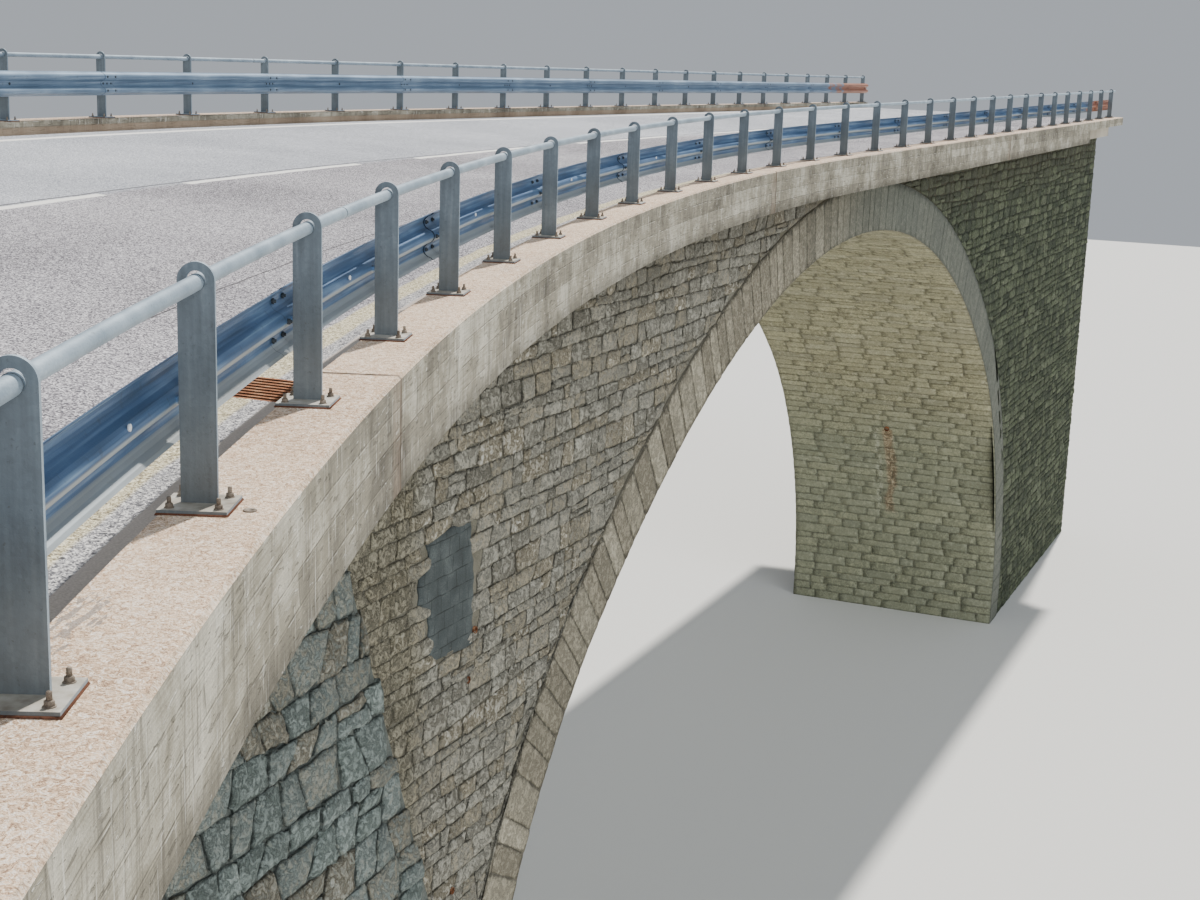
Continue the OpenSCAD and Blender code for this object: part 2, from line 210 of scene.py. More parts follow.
class Finish:
    """A material in the making. node() adds every node but the shader, and done() files it under its name."""

    def __init__(self, name, metallic=0.0, specular=0.4):
        self.name = name
        self.material = bpy.data.materials.new(name)
        self.material.use_nodes = True
        self.tree = self.material.node_tree
        self.shader = self.tree.nodes["Principled BSDF"]
        self.shader.inputs["Metallic"].default_value = metallic
        self.shader.inputs["Specular IOR Level"].default_value = specular
        self.place = self.node("TexCoord", {}, {}, "Object")

    def node(self, kind, settings, inputs, output=0):
        """Adds a node: its settings, then its sockets' values, links or screen colours."""
        made = self.tree.nodes.new("ShaderNode" + kind)
        for key, value in settings.items():
            setattr(made, key, value)
        for key, value in inputs.items() if isinstance(inputs, dict) else enumerate(inputs):
            self.feed(made.inputs[key], value)
        return Field(self, made.outputs[output])

    def feed(self, socket, value):
        """Gives a socket a link, a screen colour or a plain value."""
        if isinstance(value, Field):
            self.tree.links.new(value.socket, socket)
        else:
            socket.default_value = linear(value) if isinstance(value, str) else value

    def parts(self, vector, kind="SeparateXYZ"):
        """The three parts of a vector or colour."""
        first = self.node(kind, {}, [vector])
        return [Field(self, socket) for socket in first.socket.node.outputs[:3]]

    def vector(self, x, y, z):
        return self.node("CombineXYZ", {}, [x, y, z])

    def noise(self, scale, detail=3.0, distortion=0.0, at=None):
        return self.node("TexNoise", {}, {"Vector": at or self.place, "Scale": scale, "Detail": detail,
                                          "Distortion": distortion})

    def streaks(self, x, y, z, detail=5.0, distortion=0.0):
        """Noise at x, y and z, each already scaled for how fine the streaks are that way."""
        return self.noise(1.0, detail, distortion, self.vector(x, y, z))

    def cells(self, scale, output="Distance"):
        return self.node("TexVoronoi", {}, {"Vector": self.place, "Scale": scale}, output)

    def tones(self, scale):
        """One random value for each cell."""
        return self.parts(self.cells(scale, "Color"), "SeparateColor")[0]

    def ramp(self, value, *stops):
        """Colour ramp; each stop is a position and a screen colour."""
        made = self.node("ValToRGB", {}, [value])
        elements = made.socket.node.color_ramp.elements
        for _ in stops[2:]:
            elements.new(1.0)
        for stop, (position, colour) in zip(elements, stops):
            stop.position = position
            stop.color = linear(colour)
        return made

    def blend(self, mask, first, second, kind="MIX"):
        return self.node("Mix", {"data_type": "RGBA", "blend_type": kind}, {0: mask, 6: first, 7: second}, 2)

    def coats(self, colour, *layers):
        """Colour under layers, each the share that it covers and its own colour."""
        for mask, over in layers:
            colour = self.blend(mask, colour, over)
        return colour

    def shade(self, colour, value):
        """Colour multiplied by a value."""
        return self.blend(1.0, colour, value, "MULTIPLY")

    def layout(self, far=False):
        """Station, offset and height of each point, as on_road lays them out.

        Where far is set, the height counts from the far coping's plane, which dips to the east.
        """
        x, y, z = self.parts(self.place)
        x = x + MID_X
        y = y + MID_Y
        z = z + FLOOR_Z
        if far:
            z = z - FAR_RISE + x * math.tan(DIP)
        bend = x.below(0.0)
        radius = (x * x + (y + BEND_R) * (y + BEND_R)).math("POWER", 0.5)
        turn = x.math("ARCTAN2", y + BEND_R)
        return bend * turn * BEND_R + (1 - bend) * x, bend * (radius - BEND_R) + (1 - bend) * y, z

    def upward(self):
        """How far a face looks up."""
        return self.parts(self.node("NewGeometry", {}, {}, "Normal"))[2]

    def bump(self, height, distance):
        return self.node("Bump", {}, {"Height": height, "Distance": distance, "Strength": 1.0})

    def done(self, colour, roughness, normal=None):
        self.feed(self.shader.inputs["Base Color"], colour)
        self.feed(self.shader.inputs["Roughness"], roughness)
        if normal:
            self.feed(self.shader.inputs["Normal"], normal)
        finishes[self.name] = self.material


def stone(name, palette, smear, relief, share=0.0, deck_shade_and_stain=0.5, shaded=None, own=0.5, rim=0.5, crease_shade=0.4):
    """Finish of separate stones: tones of their own and within, painted shade in creases and at the rims,
    and painted shade with drip stain under the deck.

    own is how far tones differ between stones. Mortar of the colour smear is dabbed on, over more of them
    with a larger share. shaded is a darker colour that takes over towards the east.
    """
    f = Finish(name, specular=0.2)
    tone, tint, rise = f.parts(f.node("Attribute", {"attribute_name": "stone"}, {}, "Color"), "SeparateColor")
    x, y, z = f.parts(f.place)
    x = x + MID_X
    z = z + FLOOR_Z
    patch = f.noise(1.1, 4.0)
    medium = f.noise(22.0, 6.0, 1.2)
    fine = f.noise(120.0, 5.0)
    chips = f.noise(48.0, 4.0, 1.5)
    last = len(palette) - 1
    colour = f.ramp(tone * own + medium * (1.25 - own) - 0.1, *[(i / last, c) for i, c in enumerate(palette)])
    colour = f.shade(colour, 0.9 * fine + 1.15 * medium - 0.02)
    colour = f.shade(colour, 0.86 + 0.28 * tint)
    cover = medium * 0.5 + f.noise(7.0, 5.0, 0.8) * 0.6 - rise * 0.12
    dab = f.shade(smear, 0.3 + 0.75 * fine + 0.6 * patch)
    colour = f.blend(cover.rise(0.62 - share, 0.72 - share) * 0.85, colour, dab)
    # painted shade: stones darker along their creases and chips
    crack = medium.band(0.47, 0.004, 0.025).most(chips.band(0.56, 0.003, 0.03) * 0.8)
    colour = f.shade(colour, 1 - crease_shade * crack)
    # painted shade: each stone darker towards its rim, where the shade of the joint falls
    colour = f.shade(colour, 1 - rim + rim * (rise + medium * 0.5 - 0.2).rise(0.0, 0.35))
    if name == "soffit_stone":
        across = y + MID_Y
        wander = (patch + f.noise(5.0, 4.0)) * 0.16 - 0.16
        below = (-4.16 - z).rise(0.0, 0.06) * (z + 5.45 + patch * 0.5).rise(0.0, 0.3)
        below = below * (x - 6.0).rise(0.0, 0.1)
        trail = (across + wander * (-4.1 - z).most(0.0)).band(SPOUT[0], 0.02, 0.11) * below
        rust = f.ramp(medium, (0.3, "4a2f1a"), (0.48, "80562f"), (0.62, "c2a987"))
        lime = (across + wander * 0.6).band(SPOUT[0] + 0.17, 0.01, 0.05) * below * medium.rise(0.4, 0.6)
        low = (-3.6 - z + patch).rise(0.0, 1.6)
        colour = f.coats(colour, ((trail * (0.2 + medium * 1.3)).rise(0.2, 0.8) * 0.85, rust),
                         (lime * 0.6, "cfcdb4"), (low * 0.45, f.shade("687264", 0.4 + medium * 1.2)))
    if name == "wall_stone":
        rubble = (0.15 * medium + 0.3 * patch - x).rise(7.05, 7.35) * (x + 9.6).rise(-0.1, 0.1)
        rubble = rubble * (y + MID_Y).below(1.0)
        olive = f.ramp(medium * 0.8 + fine * 0.4, (0.25, "37342a"), (0.5, "6a6554"), (0.8, "a39d86"))
        colour = f.blend(rubble * 0.75, colour, f.shade(olive, 1 - crease_shade * crack))
    # painted shade under the deck's overhang, with drip stain along its edge
    drip = f.streaks(x * 3.1, y * 3.1, z * 0.35)
    under = (z + drip * 0.9 - 0.45).rise(WALL_TOP - 0.8, WALL_TOP)
    colour = f.blend(under * deck_shade_and_stain, colour, "47443a")
    if shaded:
        east = (x + patch * 2.0).rise(CROWN_X - 2.0, CROWN_X + 2.6)
        colour = f.blend(east * 0.8, colour, f.shade(shaded, 0.2 + medium + 0.6 * fine))
    f.done(colour, 0.8 + 0.18 * medium, f.bump(fine * 0.3 + medium + chips * 0.4 - crack * 0.3, relief))


def mortar(name, dark, pale, deck_shade_and_stain=0.5):
    """Finish of the joints behind the stones: sandy, with painted shade and drip stain under the deck."""
    f = Finish(name, specular=0.2)
    x, y, z = f.parts(f.place)
    z = z + FLOOR_Z
    grain = f.noise(120.0, 4.0)
    patch = f.noise(2.6, 4.0)
    colour = f.ramp(patch * 0.6 + grain * 0.6, (0.35, dark), (0.75, pale))
    # painted shade under the deck's overhang, with drip stain along its edge
    drip = f.streaks(x * 3.1, y * 3.1, z * 0.35, 4.0)
    under = (z + drip * 0.9 - 0.45).rise(WALL_TOP - 0.9, WALL_TOP)
    f.done(f.blend(under * deck_shade_and_stain, colour, "57503f"), 0.95, f.bump(grain + patch, 0.003))


def edge_concrete(name, far):
    """Coping and fascia: exposed pebbles on top; board marks, drips and pale runs on the face, with painted
    highlights on board edges and strokes, and painted shade in grooves, hollows and pits.
    """
    f = Finish(name, specular=0.3)
    s, n, z = f.layout(far)
    top = f.upward().rise(0.55, 0.8)
    grain = f.noise(260.0, 4.0)
    cloud = f.noise(2.2, 6.0)
    blotch = f.noise(9.0, 5.0, 0.8)
    squiggle = f.noise(62.0, 3.0, 1.5)
    coping = f.ramp(f.tones(260.0) * 0.3 + cloud * 0.35 + grain * 0.4, (0.25, "a08369"), (0.5, "dcbd9e"),
                    (0.8, "fbe5cc"))
    grey = (blotch * 0.5 + f.noise(0.8, 4.0) * 0.6).rise(0.56, 0.68)
    coping = f.coats(f.shade(coping, 0.84 + 0.3 * blotch), (grey * 0.4, "a89e94"),
                     (squiggle.band(0.57, 0.012, 0.02) * 0.75, "7a5b45"),
                     (squiggle.band(0.43, 0.012, 0.025) * 0.7, "fffaf2"))
    if not far:
        ragged = f.streaks(s * 17.0 + n * 20.0, n * 60.0, 0.0, distortion=0.6)
        spill = (s + 13.66).band(0.0, 0.02, 0.34) * (n - 0.03).band(0.0, 0.01, 0.07) * 0.35 + ragged
        coping = f.blend(spill.rise(0.81, 0.86) * 0.75, coping, "857e79")

    board = 0.076
    row = (z / board).floor()
    level = z / board + blotch * 0.05
    groove = level.grooves(0.035)
    # painted highlight: a pale line along each board edge
    board_edge_highlight = (level + 0.07).grooves(0.03)
    plank = (s + row * 0.77 + z * 0.25) / 1.9
    plank_tone = f.node("TexWhiteNoise", {}, {"Vector": f.vector(plank.floor(), row, 0.0)})
    wood = f.streaks(s * 5.0, row * 7.0, z * 190.0, 6.0)
    broken = f.streaks(s * 9.0, row * 3.0, z * 20.0, 4.0)
    stroke = f.streaks(s * 16.0 + z * 12.0, 5.0, z * 90.0 - s * 6.0, 4.0, 0.6)
    drip = f.streaks(s * 75.0, 0.0, z * 5.0, distortion=0.4)
    soot = f.streaks(s * 11.0, 3.0, z * 2.0, distortion=0.5)
    run = f.streaks(s * 90.0 + 31.0, 0.0, z * 7.0, distortion=0.5)
    # painted highlight on raised strokes, and painted shade in the hollows beside them
    stroke_highlight = stroke.rise(0.62, 0.66) * blotch.rise(0.4, 0.6)
    hollow_shade = (1 - stroke).rise(0.62, 0.67)
    # painted shade in the pits
    pit = (0.1 - f.cells(55.0)).rise(0.0, 0.04)
    face = f.ramp(cloud * 0.5 + blotch * 0.3 + wood * 0.2 + plank_tone * 0.1, (0.38, "575248"),
                  (0.54, "928c7b"), (0.7, "cdc8b8"))
    face = f.shade(face, 0.6 + 0.8 * grain)
    # painted shade along the board grooves
    face = f.shade(face, 1 - 0.6 * groove.most(plank.grooves(0.003)) * broken.rise(0.38, 0.56))
    face = f.coats(face, (board_edge_highlight * broken.rise(0.52, 0.62) * 0.7, "e9e6da"),
                   ((drip * 0.55 + soot * 0.55).rise(0.57, 0.69) * 0.55, "59544a"),
                   (run.rise(0.6, 0.68) * 0.6, "dedbd0"), (stroke_highlight * 0.6, "ebe8dd"), (hollow_shade * 0.5, "4d483e"),
                   (pit * 0.7, "4a453c"))
    foot = (cloud * 0.05 - z).rise(FASCIA_H - 0.05, FASCIA_H + 0.02)
    colour = f.blend(top, f.shade(face, 1 - 0.35 * foot), coping)
    if far:
        kerb = (1 - top) * (0 - z).rise(0.034, 0.046) * n.below(ROAD_W)
        colour = f.blend(kerb * 0.85, colour, f.ramp(cloud + drip * 0.3, (0.4, "7a6754"), (0.8, "a8937c")))
    else:
        gap = reduce(Field.most, [s.band(station, 0.006, 0.01) for station in JOINTS])
        leak = reduce(Field.most, [s.band(station - 0.05, 0.02, 0.16) for station in JOINTS])
        leak = (leak * (1 - top) * (drip * 0.9 + 0.2)).rise(0.4, 0.75)
        colour = f.coats(colour, (gap * blotch.rise(0.2, 0.6), "4a3d31"),
                         (leak * 0.6, f.ramp(run, (0.4, "54473b"), (0.65, "a08a74"))))
    relief = wood * 0.4 + blotch * 0.6 - groove * broken + board_edge_highlight * 0.4 + stroke_highlight - hollow_shade - pit
    height = top * (0.6 - f.cells(260.0) + grain + squiggle) * 0.6 + (1 - top) * relief
    f.done(colour, 0.86, f.bump(height + grain * 0.3, 0.003))


def deck_concrete():
    """Underside and edges of the slab: grey, board-marked along the road, with soot-dark patches."""
    f = Finish("deck_concrete", specular=0.25)
    cloud = f.noise(1.4, 5.0)
    grain = f.noise(110.0, 3.0)
    groove = (f.layout()[1] / 0.1).grooves(0.04)
    colour = f.ramp(cloud + 0.2 * grain, (0.3, "837c6e"), (0.6, "a8a091"), (0.9, "c3bcae"))
    # painted shade along the board grooves
    f.done(f.shade(colour, 1 - 0.25 * groove), 0.9, f.bump(grain - groove, 0.002))


def asphalt():
    """Wearing course: mauve-grey near lane, bluish far lane, worn paint, a sealed joint, a pale channel.

    Across the road from the near side: a ledge of concrete, the channel's grey and yellow gravel, a crack,
    two wheel tracks, the seam beside the broken line and the edge line.
    """
    f = Finish("asphalt", specular=0.3)
    s, n, _ = f.layout()
    cloud = f.noise(0.9, 4.0)
    grain = f.noise(260.0, 2.0)
    mix = f.tones(210.0) * 0.5 + grain * 0.4 + cloud * 0.25
    near_lane = f.ramp(mix, (0.28, "3a383e"), (0.54, "6f6c73"), (0.8, "e0dde1"))
    far_lane = f.ramp(mix, (0.25, "5f636b"), (0.56, "9a9da6"), (0.85, "e6e9ed"))
    middle = 2.05 + 0.037 * (-3.6 - s).most(0.0)
    lanes = f.blend((n - middle + cloud * 0.1).rise(0.0, 0.1), near_lane, far_lane)
    wheel = n.band(0.95, 0.1, 0.25).most(n.band(1.7, 0.1, 0.25))
    wander = f.noise(2.0, 3.0) * 0.03 - 0.015
    gravel = f.noise(120.0, 3.0, 1.3)
    grey = f.ramp(gravel, (0.36, "26272b"), (0.5, "86868a"), (0.6, "efede9"))
    yellow = f.ramp(gravel, (0.36, "4f4631"), (0.48, "b7aa80"), (0.6, "fbf3d2"))
    channel = f.blend((n + wander - 0.183).rise(0.0, 0.015), grey, yellow)
    ledge = (0.146 - n + wander * 0.4).rise(0.0, 0.006)
    ledge_colour = f.ramp(cloud * 0.5 + grain * 0.5, (0.3, "978c82"), (0.7, "cfc5bb"))
    crack = (n + wander * 0.5).band(0.765, 0.0025, 0.003)
    seam = (n - middle + wander * 0.4).band(0.055, 0.005, 0.008)
    dash = ((s + 7.0) / 3.0).fract()
    painted = (n - middle).band(0.0, 0.026, 0.006) * (1 - dash.rise(0.71, 0.715))
    chipped = (f.noise(40.0, 5.0) * 0.7 + grain * 0.5).rise(0.32, 0.46)
    paint = painted.most(n.band(3.97, 0.03, 0.008)) * chipped
    colour = f.coats(f.shade(lanes, 1 - 0.07 * wheel),
                     ((0.262 - n + wander).rise(0.0, 0.012) * 0.85, channel), (ledge, ledge_colour),
                     (crack * 0.8, "3a3739"), (seam * 0.85, "333236"), (paint * 0.95, "f6f4ee"))
    height = (0.6 - f.cells(210.0)) * (1 - ledge) + grain * 0.4 + paint * 0.8 - crack - seam
    f.done(colour, 0.88 - 0.25 * paint, f.bump(height, 0.0016))


def galvanised(name, posts):
    """Posts and pipe: dull blue-grey zinc with fine upright streaks, pits and dusty plates. Faces that look
    along the road take the darker zinc as painted shade, all others the paler zinc with painted sky
    reflection.

    Round the pipe at each post the weld is dark.
    """
    f = Finish(name, metallic=0.3, specular=0.5)
    s, n, z = f.layout()
    cloud = f.noise(7.0, 6.0)
    fine = f.noise(220.0, 4.0)
    drip = f.streaks(s * 90.0, n * 90.0, z * 5.0)
    x, y, up = f.parts(f.node("NewGeometry", {}, {}, "Normal"))
    turn = s.math("MINIMUM", 0.0) / BEND_R
    shaded_broad_faces = abs(x * turn.math("COSINE") - y * turn.math("SINE")).rise(0.75, 0.95)
    body = f.ramp(cloud * 0.5 + f.tones(120.0) * 0.06 + drip * 0.4, (0.3, "4d555b"), (0.52, "616c74"),
                  (0.8, "828e97"))
    rim = f.ramp(cloud * 0.7 + fine * 0.3, (0.3, "778896"), (0.6, "9fafbb"), (0.9, "d0dbe2"))
    pit = (fine * 0.6 + f.noise(70.0, 3.0) * 0.5).rise(0.66, 0.72)
    weld = s.from_nearest(*posts[:2]).band(POST_T / 2 + 0.0011, 0.0008, 0.0002)
    weld = weld * z.math("GREATER_THAN", 0.3)
    soil = (0.3 - z + drip * 0.25).rise(0.1, 0.42) * 0.35
    plate = z.below(PLATE_T + 0.0005) * up.rise(0.4, 0.8)
    dust = cloud * 0.5 + f.noise(40.0, 5.0) * 0.6
    dust = f.ramp(dust, (0.35, "7d7467"), (0.55, "aaa599"), (0.75, "c8c7c1"))
    # broad faces get the darker zinc as painted shade, the rest the paler zinc as painted sky reflection
    colour = f.coats(rim, (shaded_broad_faces, body), (pit * 0.4, "4a4c4d"), (weld * 0.8, "33383d"),
                     (soil * shaded_broad_faces, "5c584d"), (plate, dust))
    f.done(colour, 0.46 + 0.2 * cloud + 0.15 * pit, f.bump(fine * 0.5 + cloud, 0.0008))


def beam_zinc(name, palette, posts, lap):
    """Folded beams: weathered zinc, long soft streaks, spots and rust to the east, with painted shade at the
    sheet ends of laps and a pale band of painted light reflected from the coping, with dust, along the rib.
    """
    f = Finish(name, metallic=0.3, specular=0.45)
    s, _, z = f.layout()
    cloud = f.noise(3.0, 5.0)
    fine = f.noise(200.0, 4.0)
    streak = f.streaks(s * 1.6, 0.0, z * 90.0)
    end = s.from_nearest(posts[0] + lap * posts[1], 2 * posts[1])
    rust = (f.noise(4.0, 5.0) + (s - 13.0) * 0.25).rise(0.55, 0.7) * s.rise(9.0, 13.5)
    colour = f.coats(
        f.ramp(cloud * 0.35 + streak * 0.65, *zip((0.3, 0.52, 0.78), palette)),
        (f.noise(34.0, 4.0).rise(0.62, 0.72) * 0.3, "3f454b"),
        (f.upward().rise(0.2, 0.6) * z.rise(0.15, 0.14) * 0.6, "b3b4aa"),
        # pale band along the rib: painted light reflected up from the coping, with dust; near-black line at
        # each lap's sheet end: painted shade
        (z.band(0.187, 0.007, 0.005) * 0.5, "b9c2bd"), (end.band(0.0655, 0.0008, 0.0012) * 0.85, "0d1218"),
        (rust * 0.8, f.ramp(fine, (0.3, "8a4a22"), (0.7, "b8713a"))))
    f.done(colour, 0.36 + 0.25 * cloud, f.bump(fine * 0.4 + cloud, 0.0007))


def rusty_iron():
    """Grate, pipes and spout: old rust, with painted shade on faces that don't look up."""
    f = Finish("rusty_iron", metallic=0.1, specular=0.25)
    cloud = f.noise(22.0, 5.0)
    fine = f.noise(240.0, 4.0)
    colour = f.ramp(cloud * 0.6 + fine * 0.45, (0.3, "5f3b28"), (0.52, "9c6544"), (0.8, "d3ab84"))
    # painted shade: the less a face looks up, the darker it is
    colour = f.shade(colour, 0.35 + 0.65 * f.upward().rise(0.2, 0.7))
    f.done(colour, 0.85, f.bump(fine + cloud, 0.002))


def bolt_steel(name, *palette):
    """Nuts, studs and bolt heads, each side with its own dirt."""
    f = Finish(name, metallic=0.3, specular=0.4)
    cloud = f.noise(40.0, 4.0)
    fine = f.noise(420.0, 3.0)
    colour = f.ramp(cloud * 0.7 + fine * 0.3, *zip((0.3, 0.55, 0.8), palette))
    f.done(colour, 0.6 + 0.2 * cloud, f.bump(fine + cloud, 0.001))


def bedding_mortar():
    """Rust-stained mortar under the base plates."""
    f = Finish("bedding_mortar", specular=0.2)
    cloud = f.noise(14.0, 4.0)
    fine = f.noise(200.0, 3.0)
    colour = f.ramp(cloud * 0.6 + fine * 0.4, (0.3, "38231a"), (0.6, "66412f"), (0.85, "8f6b54"))
    f.done(colour, 0.92, f.bump(fine + cloud, 0.001))


def patch_render():
    """Cement render of the wall's patch: dark blue-grey, trowelled, with faint lines of blocks."""
    f = Finish("patch_render", specular=0.3)
    cloud = f.noise(7.0, 5.0)
    fine = f.noise(130.0, 4.0)
    x, _, z = f.parts(f.place)
    level = z / 0.105 + cloud * 0.25
    upright = x / 0.11 + level.floor() * 0.37 + cloud * 0.3
    line = abs(level.fract() - 0.5).rise(0.45, 0.49).most(abs(upright.fract() - 0.5).rise(0.46, 0.49))
    colour = f.ramp(cloud * 0.6 + fine * 0.4, (0.3, "2f3435"), (0.52, "444b4b"), (0.8, "6b7271"))
    colour = f.shade(colour, 1 - 0.55 * line * f.noise(11.0, 4.0).rise(0.35, 0.55))
    f.done(colour, 0.85, f.bump(fine * 0.5 + cloud - line * 0.5, 0.004))


def reflector():
    """White reflective film, slightly cloudy."""
    f = Finish("reflector_white", specular=0.5)
    cloud = f.noise(120.0, 3.0)
    f.done(f.ramp(cloud, (0.3, "c9ced2"), (0.7, "eef1f3")), 0.3 + 0.2 * cloud)


stone("wall_stone", ("625e52", "827f73", "9b998d", "8c8470", "ccccc3"), "99958a", 0.014, 0.03, crease_shade=0.55)
# east walls: weathered, mossy stone whose darker palette is partly painted shade
stone("weathered_stone", ("2b3128", "444b3c", "5d644e", "737865"), "5a6046", 0.012, crease_shade=0.5)
stone("rough_stone", ("555f5b", "707b76", "848e8a", "807b6c", "a4aaa3"), "848a80", 0.016, 0.04, 0.3,
      crease_shade=0.3)
stone("ring_stone", ("6c6657", "827c6c", "958f7d", "a7a18f"), "a09a88", 0.006, 0.03, 0.35, "5c625b", rim=0.45)
stone("soffit_stone", ("78745c", "8d896e", "9c987a", "95927a", "aeaa8f"), "aaa68c", 0.005, 0.06, 0.1, own=0.4,
      rim=0.3, crease_shade=0.2)
mortar("wall_joint", "4c493d", "7c796c")
# east walls: darker joints, partly painted shade
mortar("shaded_east_joint", "23261f", "3c3f33")
mortar("rough_joint", "3d4240", "6b706a")
mortar("ring_joint", "4f4b40", "7a766a", 0.2)
mortar("soffit_joint", "69654f", "938f76", 0.1)
deck_concrete()
edge_concrete("near_edge_concrete", False)
edge_concrete("far_edge_concrete", True)
asphalt()
galvanised("near_zinc", NEAR_POSTS)
galvanised("far_zinc", FAR_POSTS)
# near beam shows its back: weathered zinc whose darker, bluer palette is partly painted shade
beam_zinc("near_beam_zinc_shaded", ("283c55", "4a698d", "93b0ca"), NEAR_POSTS, NEAR_LAP)
beam_zinc("far_beam_zinc", ("4b5f74", "6f869d", "abbccd"), FAR_POSTS, FAR_LAP)
rusty_iron()
bolt_steel("bolt_steel", "4a4038", "85796b", "c2bcb2")
bolt_steel("dark_bolt_steel", "1f2327", "3b4349", "5e6970")
bedding_mortar()
patch_render()
reflector()
NODE_FINISH = {
    "soffit_joint": ("arch_barrel",), "ring_joint": ("near_ring", "far_ring"),
    "wall_joint": ("near_spandrel_west", "far_spandrel", "rubble_fill", "west_abutment", "west_end_wall"),
    "shaded_east_joint": ("near_spandrel_east", "east_abutment"), "rough_joint": ("west_buttress",),
    "deck_concrete": ("deck_slab",), "asphalt": ("carriageway",), "rusty_iron": ("drain_grate", "weep_pipes"),
    "near_edge_concrete": ("near_edge_beam",), "far_edge_concrete": ("far_edge_beam",),
    "near_zinc": ("near_railing",), "far_zinc": ("far_railing",),
    "near_beam_zinc_shaded": ("near_guard_rail",), "far_beam_zinc": ("far_guard_rail",),
}
for node_name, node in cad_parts.items():
    node_finish = next(name for name, stems in NODE_FINISH.items() if node_name.startswith(stems))
    node.data.materials.clear()
    node.data.materials.append(finishes[node_finish])


# Meshes


def linked(name, data):
    """A new object of the scene."""
    made = bpy.data.objects.new(name, data)
    bpy.context.scene.collection.objects.link(made)
    return made


def piece(name, points, faces, finish, smooth=None, marks=None):
    """One mesh at the origin from its points and its faces, an index array for each number of corners."""
    mesh = bpy.data.meshes.new(name)
    corners = np.concatenate([f.ravel() for f in faces])
    sizes = np.concatenate([np.full(len(f), f.shape[1]) for f in faces])
    mesh.vertices.add(len(points))
    mesh.vertices.foreach_set("co", points.ravel())
    mesh.loops.add(len(corners))
    mesh.loops.foreach_set("vertex_index", corners.astype(np.int32))
    mesh.polygons.add(len(sizes))
    mesh.polygons.foreach_set("loop_start", (np.cumsum(sizes) - sizes).astype(np.int32))
    mesh.update(calc_edges=True)
    if smooth is not None:
        mesh.polygons.foreach_set("use_smooth", smooth)
    if marks is not None:
        mesh.attributes.new("stone", "FLOAT_COLOR", "POINT").data.foreach_set("color", marks.ravel())
    mesh.validate()
    mesh.materials.append(finishes[finish])
    made = linked(name, mesh)
    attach(made, "root")


def sheet(rows, cols):
    """Faces of a grid of points, counted row after row, and the points round its rim in turn."""
    i, j = np.mgrid[:rows - 1, :cols - 1].reshape(2, -1)
    cell = i * cols + j
    face = np.stack([cell, cell + 1, cell + cols + 1, cell + cols], 1)
    along = np.arange(cols - 1)
    up = np.arange(rows - 1)
    rim = [along, up * cols + cols - 1, rows * cols - 1 - along, (rows - 1 - up) * cols]
    return face, np.concatenate(rim)


def shares(rng, rows, count, uneven):
    """Edges from 0 to 1 of count random shares in each row; a share differs from the mean by up to uneven."""
    size = 1 + uneven * rng.uniform(-1, 1, (rows, count))
    edges = np.cumsum(size, 1) / size.sum(1, keepdims=True)
    return np.concatenate([np.zeros((rows, 1)), edges], 1)


def courses(rng, box, height, length, joint=0.008, uneven=0.5, wave=0.16, lean=0.05, split=0.12, levels=None):
    """Corners of the stones of a coursed wall, each anticlockwise from its lower left.

    Course heights and stone lengths are random shares of the wall. A bed line swells by a sine along it, an
    upright joint leans, and some stones are split in two by height.
    """
    u0, u1, v0, v1 = box
    if levels is None:
        levels = v0 + (v1 - v0) * shares(rng, 1, round((v1 - v0) / height), 0.28)[0]
    rows = len(levels) - 1
    count = max(1, round((u1 - u0) / length))
    upright = u0 + (u1 - u0) * shares(rng, rows, count, uneven)
    tilt = rng.normal(0, lean * height, upright.shape)
    tilt[:, [0, -1]] = 0
    swell = wave * height * rng.uniform(0.3, 1, (rows + 1, 1))
    swell[[0, -1]] = 0
    rate = rng.uniform(0.8, 2.6, (rows + 1, 1))
    phase = rng.uniform(0, 2 * math.pi, (rows + 1, 1))
    low_u = upright - tilt
    high_u = upright + tilt
    low_v = levels[:-1, None] + swell[:-1] * np.sin(low_u * rate[:-1] + phase[:-1])
    high_v = levels[1:, None] + swell[1:] * np.sin(high_u * rate[1:] + phase[1:])
    low = np.stack([low_u, low_v], -1)
    high = np.stack([high_u, high_v], -1)
    quads = np.stack([low[:, :-1], low[:, 1:], high[:, 1:], high[:, :-1]], 2).reshape(-1, 4, 2)
    inwards = joint / 2 * np.array([(1, 1), (-1, 1), (-1, -1), (1, -1)])
    cut = rng.random(len(quads)) < split
    a, b, c, d = quads[cut].transpose(1, 0, 2)
    part = rng.uniform(0.4, 0.6, (len(a), 1))
    left = a + part * (d - a)
    right = b + part * (c - b)
    lower = np.stack([a, b, right, left], 1)
    upper = np.stack([left, right, c, d], 1)
    return np.concatenate([quads[~cut], lower, upper]) + inwards


def area(quads):
    """Signed area of each quadrilateral: half the cross product of its diagonals."""
    a = quads[:, 2] - quads[:, 0]
    b = quads[:, 3] - quads[:, 1]
    return (a[:, 0] * b[:, 1] - a[:, 1] * b[:, 0]) / 2


